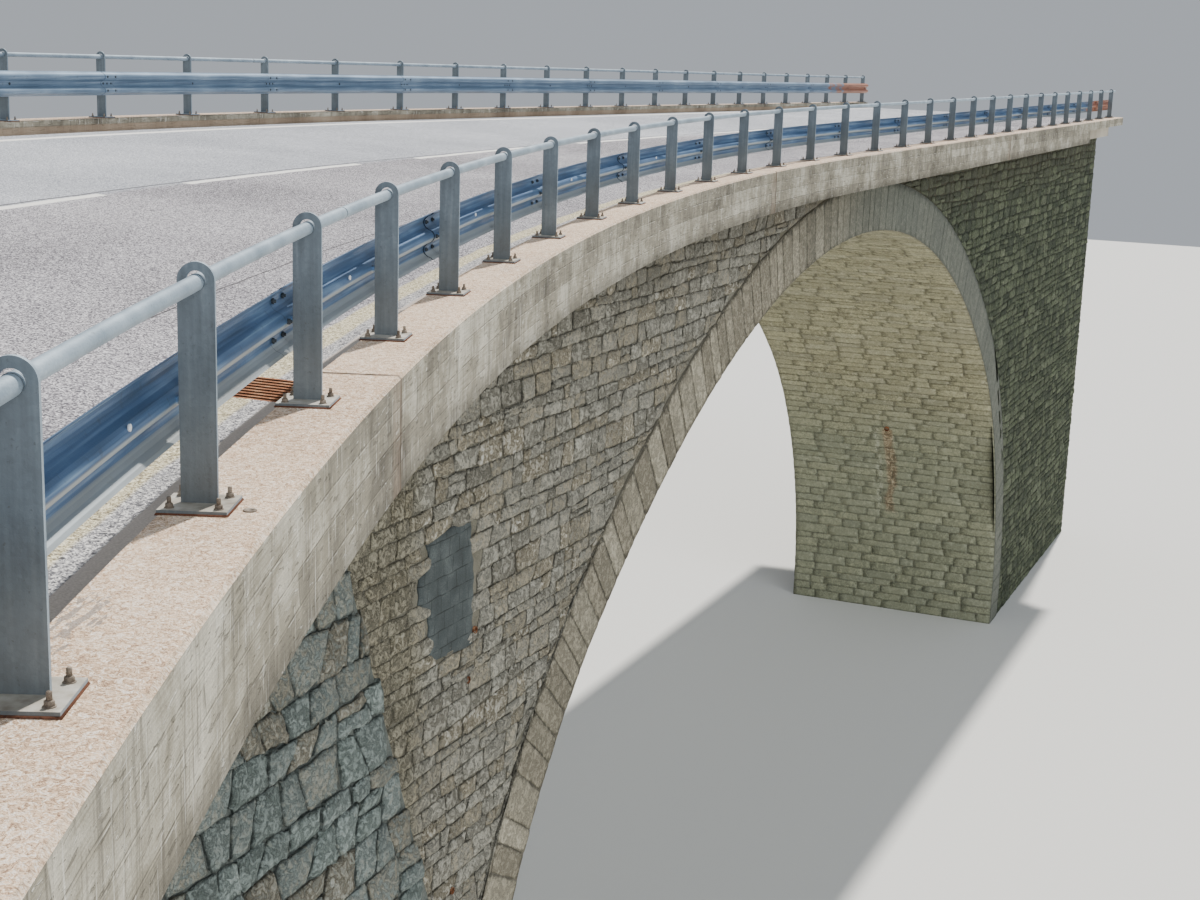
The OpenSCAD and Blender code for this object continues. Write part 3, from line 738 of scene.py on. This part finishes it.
def stones(name, quads, place, slot, relief, seed, grid, fit=None, rim=0.4, rough=0.1, rounding=0.5,
           wobble=0.0015, depth=0.006):
    """Pillow stones on a wall: a grid blended between each stone's four corners.

    The face stands out by relief times rim at the edge, rising by the sines of both grid parameters to the
    full relief, with a random height, tilt and roughness. A skirt joins it to a rear face inside the wall.
    """
    rng = np.random.default_rng(seed)
    if fit:
        whole = area(quads)
        quads = fit(quads)
        quads = quads[area(quads) > 0.3 * whole]
    count = len(quads)
    step = (1 - np.cos(math.pi * np.linspace(0, 1, grid))) / 2
    q, p = np.meshgrid(step, step, indexing="ij")
    share = np.stack([(1 - p) * (1 - q), p * (1 - q), p * q, (1 - p) * q])
    uv = np.einsum("nkc,kij->nijc", quads, share)
    for i, up in ((0, 1), (-1, -2)):
        for j, over in ((0, 1), (-1, -2)):
            uv[:, i, j] += rounding * ((uv[:, up, j] + uv[:, i, over]) / 2 - uv[:, i, j])
    uv += rng.normal(0, wobble, uv.shape)
    if fit:
        uv = fit(uv.reshape(-1, 4, 2) if grid % 2 == 0 else uv.reshape(-1, 1, 2)).reshape(uv.shape)
    dome = (np.sin(math.pi * p) * np.sin(math.pi * q)).clip(0) ** 0.45
    height = rng.uniform(0.7, 1.15, (count, 1, 1)) * (rim + (1 - rim) * dome)
    for way in (p, q):
        height = height + rng.normal(0, 0.12, (count, 1, 1)) * (2 * way - 1)
    height = height + rng.normal(0, rough, (count, grid, grid)) * (0.4 + 0.6 * dome)
    height = relief * height.clip(0.1, 1.3)
    face, ring = sheet(grid, grid)
    front = place(uv[..., 0], uv[..., 1], height).reshape(count, grid * grid, 3)
    rim_uv = uv.reshape(count, -1, 2)[:, ring]
    rear = place(rim_uv[..., 0], rim_uv[..., 1], np.full(rim_uv.shape[:2], -depth))
    points = np.concatenate([front, rear], 1)
    points[..., 2] = points[..., 2].clip(0.0)
    first = np.arange(count)[:, None, None] * points.shape[1]
    back = grid * grid + np.arange(len(ring))
    skirt = np.stack([ring, back, np.roll(back, -1), np.roll(ring, -1)], 1)
    quads_index = (np.concatenate([face, skirt])[None] + first).reshape(-1, 4)
    rear_index = (back[::-1][None, None] + first).reshape(-1, len(ring))
    smooth = np.tile(np.arange(len(face) + len(skirt)) < len(face), count)
    smooth = np.concatenate([smooth, np.zeros(count, bool)])
    marks = np.zeros((count, points.shape[1], 4))
    for tone in (0, 1):
        marks[..., tone] = rng.random((count, 1))
    marks[:, :grid * grid, 2] = dome.ravel()
    marks[..., 3] = 1
    faces = [quads_index, rear_index]
    piece(name, points.reshape(-1, 3), faces, slot, smooth, marks.reshape(-1, 4))


def near_wall(u, v, w):
    """Near wall: u along x, v up, w towards the viewer."""
    return seat(u, NEAR_Y - w, v)


def far_wall(u, v, w):
    """Far wall seen from behind: u against x, v up."""
    return seat(-u, FAR_Y + w, v)


def east_end(u, v, w):
    """End wall over the east abutment: u along y, v up, w to the east."""
    return seat(STRAIGHT - END_SETBACK + w, u, v)


def bend_wall(n, side):
    """Wall along the bend at offset n: u is its real length, and side is -1 where it looks to the near."""
    def place(u, v, w):
        x, y = on_road(-side * u * BEND_R / (BEND_R + n), n + side * w)
        return seat(x, y, v)
    return place


def radial_wall(s, side):
    """Upright face across the bend at station s: it looks east and u is the offset where side is 1.

    Where side is -1 it looks west, and u is the offset's opposite.
    """
    def place(u, v, w):
        x, y = on_road(np.full(np.shape(u), s), side * u)
        turn = s / BEND_R
        return seat(x + side * w * math.cos(turn), y - side * w * math.sin(turn), v)
    return place


def soffit(u, v, w):
    """Inside of the arch: u across the bridge, v along the arch from its west foot, w into the opening."""
    x, z = arch(v, -w)
    return seat(x, u, z)


def ring_face(y, side):
    """Face of the ring at y: v along the arch, u into the opening on the near side, out of it behind."""
    def place(u, v, w):
        x, z = arch(v, side * u)
        return seat(x, y + side * w, z)
    return place


def clear_of_ring(mirror):
    """Fit for the stones over the arch: out of the ring, and under the deck."""
    def fit(uv):
        x, z = outside_ring(mirror * uv[..., 0], uv[..., 1], 0.006)
        return np.stack([mirror * x, np.minimum(z, WALL_TOP)], -1)
    return fit


def between(edges):
    """Fit for a wall whose upright edges lean: u is kept between the two edges at v."""
    def fit(uv):
        low, high = edges(uv[..., 1])
        return np.stack([np.clip(uv[..., 0], low + 0.004, high - 0.004), uv[..., 1]], -1)
    return fit


WALL_H = WALL_TOP - FLOOR_Z
BLOCK_SLANT = math.hypot(WALL_H, BLOCK_FOOT[2] - BLOCK_TOP[2])


def block_line(k, v, slant):
    """Edge or stand-out of the rough block at length v up a face whose whole length is slant."""
    return BLOCK_FOOT[k] + (BLOCK_TOP[k] - BLOCK_FOOT[k]) * v / slant


def block_front(u, v, w):
    """Leaning front of the block: u along x, v up the slope."""
    lean = math.atan2(BLOCK_FOOT[2] - BLOCK_TOP[2], WALL_H)
    y = NEAR_Y - BLOCK_FOOT[2] + v * math.sin(lean) - w * math.cos(lean)
    return seat(u, y, FLOOR_Z + v * math.cos(lean) + w * math.sin(lean))


def block_side(k, side):
    """Leaning end of the block, east where side is 1: u across the bridge, v up the slope."""
    lean = math.atan2(side * (BLOCK_FOOT[k] - BLOCK_TOP[k]), WALL_H)

    def place(u, v, w):
        x = BLOCK_FOOT[k] + side * (w * math.cos(lean) - v * math.sin(lean))
        return seat(x, side * u, FLOOR_Z + v * math.cos(lean) + w * math.sin(lean))
    return place, WALL_H / math.cos(lean)


def under_patch(quads):
    """Stones of the near wall that the cement patch covers."""
    x, z = quads.mean(1).T
    across = (x > np.interp(z, *PATCH_WEST[::-1])) & (x < np.interp(z, *PATCH_EAST[::-1]))
    return across & (z > -2.55) & (z < -1.83)


def hidden_by_block(quads):
    """Stones of the near wall whose corners all lie behind the block."""
    v = quads[..., 1] - FLOOR_Z
    east, west = (block_line(k, v, WALL_H) for k in (0, 1))
    return ((quads[..., 0] < east - 0.05) & (quads[..., 0] > west + 0.05)).all(1)


def masonry():
    """Stones of every face of the walls, the ring, the soffit and the rough block."""
    rng = np.random.default_rng(11)
    low, high = FLOOR_Z + 0.003, WALL_TOP
    west_end = END_SETBACK - BEND_LEN
    pier_end = END_WALL - BEND_LEN
    chopped = dict(rim=0.25, rough=0.2, rounding=0.7, wobble=0.0055)
    random_rubble = dict(joint=0.0035, uneven=0.6, wave=0.26, lean=0.12)
    before = clear_of_ring(1)
    behind = clear_of_ring(-1)
    inner_x = on_road(pier_end, NEAR_Y + END_WALL_W)[0]
    near = courses(rng, (float(inner_x), CROWN_X, low, high), 0.106, 0.205, split=0.02, **random_rubble)
    near = near[~(hidden_by_block(near) | under_patch(near))]
    stones("near_wall_stones_west", near, near_wall, "wall_stone", 0.017, 1, 6, before, **chopped)
    east = courses(rng, (CROWN_X, STRAIGHT - END_SETBACK, low, high), 0.1, 0.28, **random_rubble)
    stones("near_wall_stones_east", east, near_wall, "weathered_stone", 0.018, 2, 4, before, **chopped)
    far_grow = (BEND_R + WEST_FAR_N) / BEND_R
    near_grow = (BEND_R + NEAR_Y) / BEND_R
    corner = BEND_R * math.asin(-WEST_WALL_X / (BEND_R + WEST_FAR_N))
    far_bend = bend_wall(WEST_FAR_N, 1)
    near_bend = bend_wall(NEAR_Y, -1)
    plain_walls = (
        ("east_end_stones", NEAR_Y, FAR_Y, 0.12, 0.27, east_end, None),
        ("far_wall_stones_east", END_SETBACK - STRAIGHT, -CROWN_X, 0.125, 0.28, far_wall, behind),
        ("far_wall_stones_west", -CROWN_X, -WEST_WALL_X, 0.125, 0.28, far_wall, behind),
        ("far_bend_stones", corner * far_grow, -west_end * far_grow, 0.135, 0.32, far_bend, None),
        ("end_wall_near_stones", west_end * near_grow, pier_end * near_grow, 0.122, 0.25, near_bend, None),
        ("end_wall_east_stones", NEAR_Y, NEAR_Y + END_WALL_W, 0.135, 0.3, radial_wall(pier_end, 1), None),
        ("end_wall_west_stones", -WEST_FAR_N, -NEAR_Y, 0.135, 0.3, radial_wall(west_end, -1), None))
    for seed, (name, u0, u1, height, length, place, fit) in enumerate(plain_walls, 3):
        quads = courses(rng, (u0, u1, low, high), height, length)
        slot = "weathered_stone" if place is east_end else "wall_stone"
        stones(name, quads, place, slot, 0.01, seed, 4, fit)

    ring_near = NEAR_Y - RING_PROUD
    ring_far = FAR_Y + RING_PROUD
    beds = ARCH_LEN * shares(rng, 1, round(ARCH_LEN / 0.2), 0.3)[0]
    ring = courses(rng, (-RING, 0, 0, ARCH_LEN), 0.2, RING, 0.004, wave=0, lean=0, split=0, levels=beds)
    flat = dict(rim=0.7, rough=0.07, rounding=0.2)
    stones("near_ring_stones", ring, ring_face(ring_near, -1), "ring_stone", 0.006, 10, 5, **flat)
    stones("far_ring_stones", ring + [RING, 0], ring_face(ring_far, 1), "ring_stone", 0.006, 11, 4, **flat)
    vault = (ring_near, ring_far, 0, ARCH_LEN)
    vault = courses(rng, vault, 0.115, 0.37, 0.003, wave=0.05, lean=0.04, split=0)
    stones("soffit_stones", vault, soffit, "soffit_stone", 0.006, 12, 4, rim=0.75, rough=0.08, rounding=0.08)

    knobbly = dict(rim=0.35, rough=0.13, rounding=0.8, wobble=0.007)
    lay = dict(joint=0.005, uneven=0.4, wave=0.22, lean=0.15, split=0.05)

    def front_edges(v):
        right = block_line(0, v, BLOCK_SLANT) + 0.012 + 0.012 * np.sin(19 * v) * np.sin(7 * v)
        return block_line(1, v, BLOCK_SLANT), right

    front = courses(rng, (BLOCK_FOOT[1], BLOCK_FOOT[0], 0.003, BLOCK_SLANT), 0.19, 0.24, **lay)
    fit = between(front_edges)
    stones("rough_block_stones", front, block_front, "rough_stone", 0.03, 13, 6, fit, **knobbly)
    for end, k, side, seed in (("east", 0, 1, 14), ("west", 1, -1, 15)):
        place, slant = block_side(k, side)
        cheek = courses(rng, (NEAR_Y - BLOCK_FOOT[2], NEAR_Y, 0.003, slant), 0.19, 0.24, **lay)
        if side < 0:
            cheek = cheek[:, [1, 0, 3, 2]] * [-1, 1]

        def side_edges(v):
            edges = side * NEAR_Y, side * (NEAR_Y - block_line(2, v, slant))
            return np.minimum(*edges), np.maximum(*edges)

        name = f"rough_block_{end}_stones"
        stones(name, cheek, place, "rough_stone", 0.03, seed, 5, between(side_edges), **knobbly)


def turned(name, centres, axes, profile, sides, finish, slot):
    """Round or many-sided parts: a profile of radius and height turned about each centre's third axis.

    Each ring has its points at the radius in the directions of the cosine and sine of even angles; flat caps
    close both ends.
    """
    angle = 2 * math.pi * (np.arange(sides) + 0.5) / sides
    radius, height = np.array(profile).T
    local = np.stack([radius[:, None] * np.cos(angle), radius[:, None] * np.sin(angle),
                      np.broadcast_to(height[:, None], (len(radius), sides))], -1).reshape(-1, 3)
    points = centres[:, None] + np.einsum("pk,nkc->npc", local, axes)
    ring = np.arange(len(radius) - 1)[:, None] * sides
    k = np.arange(sides)
    after = (k + 1) % sides
    wall = np.stack([ring + k, ring + after, ring + after + sides, ring + k + sides], -1).reshape(-1, 4)
    first = np.arange(len(centres))[:, None, None] * len(local)
    caps = np.stack([k[::-1], (len(radius) - 1) * sides + k])
    faces = [(wall[None] + first).reshape(-1, 4), (caps[None] + first).reshape(-1, sides)]
    piece(name, points.reshape(-1, 3), faces, finish)


def stands(stations, line, dipped=False):
    """Centres and axes (along, left, up) on a railing line, in the far edge's plane where dipped."""
    x, y = on_road(stations, line)
    turn = np.minimum(stations, 0) / BEND_R
    zero = np.zeros_like(turn)
    axes = np.array([(np.cos(turn), -np.sin(turn), zero), (np.sin(turn), np.cos(turn), zero),
                     (zero, zero, zero + 1)]).transpose(2, 0, 1)
    if dipped:
        axes = axes @ np.array(Matrix.Rotation(DIP, 3, "Y")).T
        return seat(x * math.cos(DIP), y, FAR_RISE - x * math.sin(DIP)), axes
    return seat(x, y, zero), axes


def offset(places, local):
    """Places moved by local steps along their own axes: every step at every place."""
    centres, axes = places
    local = np.atleast_2d(local)
    moved = centres[:, None] + np.einsum("lk,nkc->nlc", local, axes)
    return moved.reshape(-1, 3), np.repeat(axes, len(local), 0)


def sideways(places, side):
    """Places whose third axis points left of the line where side is 1, else right."""
    centres, axes = places
    along, left, up = axes[:, 0], axes[:, 1], axes[:, 2]
    return centres, np.stack([up, along, left] if side > 0 else [along, up, -left], 1)


def railing_details(stem, posts, line, dipped):
    """Bedding, washers, nuts and studs of the base plates."""
    first, pitch, count = posts
    places = stands(first + pitch * np.arange(count), line, dipped)
    inset = 0.045
    studs = offset(places, [(i * inset, j * inset, PLATE_T) for i in (-1, 1) for j in (-1, 1)])
    half = PLATE_W / math.sqrt(2)
    turned(stem + "_plate_bedding", *places,
           [(half + 0.004, -0.001), (half + 0.003, 0.0015), (half + 0.001, 0.0035)], 4, "bedding_mortar",
           "coping_concrete")
    for part, profile, sides in (
            ("washers", [(0.0092, -0.001), (0.0092, 0.0012), (0.0086, 0.0016)], 12),
            ("nuts", [(0.0068, 0.001), (0.0074, 0.0022), (0.0074, 0.0075), (0.0064, 0.0088)], 6),
            ("studs", [(0.0041, 0.007), (0.0041, 0.0195), (0.0034, 0.0205)], 8)):
        turned(stem + "_plate_" + part, *studs, profile, sides, "bolt_steel", "galvanised_steel")


def beam_details(stem, posts, line, side, dipped, height, lap):
    """Bolts of one guard rail: heads towards the road, nuts behind, six of each at a lap, one at each post.

    side is 1 where the road lies to the left.
    """
    first, pitch, count = posts
    every = stands(first + pitch * np.arange(count), line, dipped)
    laps = stands(first + pitch * np.arange(lap, count, 2), line, dipped)
    ridge = 0.29 * BEAM_H
    dome = [(0.0088, 0.0012), (0.007, 0.0036), (0.003, 0.0048)]
    nut = [(0.0066, -0.002), (0.007, 0.001), (0.007, 0.006), (0.006, 0.007), (0.004, 0.0071), (0.004, 0.011)]
    bolts = [(i * 0.05, j) for i in (-1, 1) for j in (-1, 0, 1)]
    front = [(along, side * (0.0822 if j else 0.0442), height + j * ridge) for along, j in bolts]
    back = [(along, side * (0.074 if j else 0.036), height + j * ridge) for along, j in bolts]
    post = (0, side * 0.0435, height)
    for part, places, way, profile, sides in (
            ("_lap_bolt_heads", offset(laps, front), side, [(0.0088, -0.002), *dome], 12),
            ("_lap_nuts", offset(laps, back), -side, nut, 6),
            ("_post_bolt_heads", offset(every, post), side, [(0.0088, -0.005), *dome], 12)):
        turned(stem + part, *sideways(places, way), profile, sides, "dark_bolt_steel", "guard_rail_steel")


def patch():
    """Cement patch: a grid between its two ragged edges, thinner at the rim, closed by a rear face."""
    rows, cols = 56, 36
    q, p = np.mgrid[0:1:rows * 1j, 0:1:cols * 1j]
    z = PATCH_FOOT + PATCH_H * q - 0.05 * p * (1 - q)
    x = (1 - p) * np.interp(z, *PATCH_WEST[::-1]) + p * np.interp(z, *PATCH_EAST[::-1])
    x = x + 0.006 * np.sin(61 * z + 3 * p)
    rim = (np.minimum(p, 1 - p) * np.minimum(q, 1 - q) * 60).clip(0, 1)
    proud = 0.007 + 0.011 * rim + 0.0015 * np.sin(37 * x + 5 * z) * np.sin(29 * z)
    front = near_wall(x, z, proud).reshape(-1, 3)
    rear = near_wall(x, z, np.full(x.shape, -0.004)).reshape(-1, 3)
    face, edge = sheet(rows, cols)
    after = np.roll(edge, -1)
    skirt = np.stack([edge, edge + rows * cols, after + rows * cols, after], 1)
    quads = np.concatenate([face, face[:, ::-1] + rows * cols, skirt])
    smooth = np.arange(len(quads)) < len(face)
    piece("cement_patch", np.concatenate([front, rear]), [quads], "patch_render", smooth)


def spots():
    """White oval spots behind the near beam, a washer left on the coping and the spout in the soffit."""
    marks = stands(np.array([-13.295, -11.302, -9.322, -7.313, -5.222]), 0.0)
    turned("beam_spots", *sideways(offset(marks, (0, 0.0365, 0.213)), -1),
           [(0.0065, -0.003), (0.0065, 0.0012), (0.005, 0.002)], 16, "reflector_white", "guard_rail_steel")
    turned("loose_washer", *stands(np.array([WASHER[0]]), WASHER[1]),
           [(0.013, -0.001), (0.013, 0.0022), (0.0125, 0.0026), (0.007, 0.0026), (0.0065, 0.001)], 20,
           "bolt_steel", "coping_concrete")
    base = arch(np.array(SPOUT[1]), 0.0)
    further = arch(np.array(SPOUT[1]), -0.1)
    inwards = np.array([further[0] - base[0], 0.0, further[1] - base[1]]) * 10
    across = np.array([0.0, 1.0, 0.0])
    axes = np.stack([across, np.cross(inwards, across), inwards])[None]
    turned("soffit_spout", seat(np.array([base[0]]), SPOUT[0], base[1]), axes,
           [(0.034, -0.01), (0.034, 0.03), (0.031, 0.034), (0.026, 0.034), (0.0245, 0.004)], 24, "rusty_iron",
           "rusty_iron")


masonry()
patch()
spots()
railing_details("near", NEAR_POSTS, 0.0, False)
railing_details("far", FAR_POSTS, ROAD_W, True)
beam_details("near", NEAR_POSTS, 0.0, 1, False, NEAR_BEAM_Z, NEAR_LAP)
beam_details("far", FAR_POSTS, ROAD_W, -1, True, FAR_BEAM_Z, FAR_LAP)

# Camera and light

camera = linked("camera", bpy.data.cameras.new("camera"))
camera.data.sensor_width = 36.0
camera.data.lens = 54.167
camera.data.clip_start = 0.05
camera.data.clip_end = 500.0
EYE = Vector((-15.285, -4.4619, 0.8418))
HEADING = 0.4108
PITCH = 0.2191
ROLL = 0.032
camera.matrix_world = (
    Matrix.Translation(EYE - Vector((MID_X, MID_Y, FLOOR_Z)))
    @ Matrix.Rotation(HEADING - math.pi / 2, 4, "Z")
    @ Matrix.Rotation(math.pi / 2 - PITCH, 4, "X")
    @ Matrix.Rotation(ROLL, 4, "Z"))
bpy.context.scene.camera = camera

floor_mesh = bpy.data.meshes.new("floor")
floor_mesh.from_pydata([(-70, -70, 0), (70, -70, 0), (70, 70, 0), (-70, 70, 0)], [], [(0, 1, 2, 3)])
floor = linked("floor", floor_mesh)
Finish("pale_floor", specular=0.2).done("d9d9d6", 0.9)
floor_mesh.materials.append(finishes["pale_floor"])

world = bpy.data.worlds.new("studio")
bpy.context.scene.world = world
world.use_nodes = True
sky = world.node_tree.nodes["Background"].inputs
sky["Color"].default_value = (0.86, 0.92, 1.0, 1.0)
sky["Strength"].default_value = 0.5
for name, energy, angle, colour, direction in (
        ("key", 6.0, 0.03, (1.0, 0.96, 0.9), (-0.7, -0.036, -1.0)),
        ("fill", 2.0, 0.9, (0.92, 0.96, 1.0), (0.75, 0.75, -0.3))):
    lamp = linked(name, bpy.data.lights.new(name, "SUN"))
    lamp.data.energy = energy
    lamp.data.angle = angle
    lamp.data.color = colour
    lamp.rotation_euler = Vector(direction).to_track_quat("-Z", "Y").to_euler()
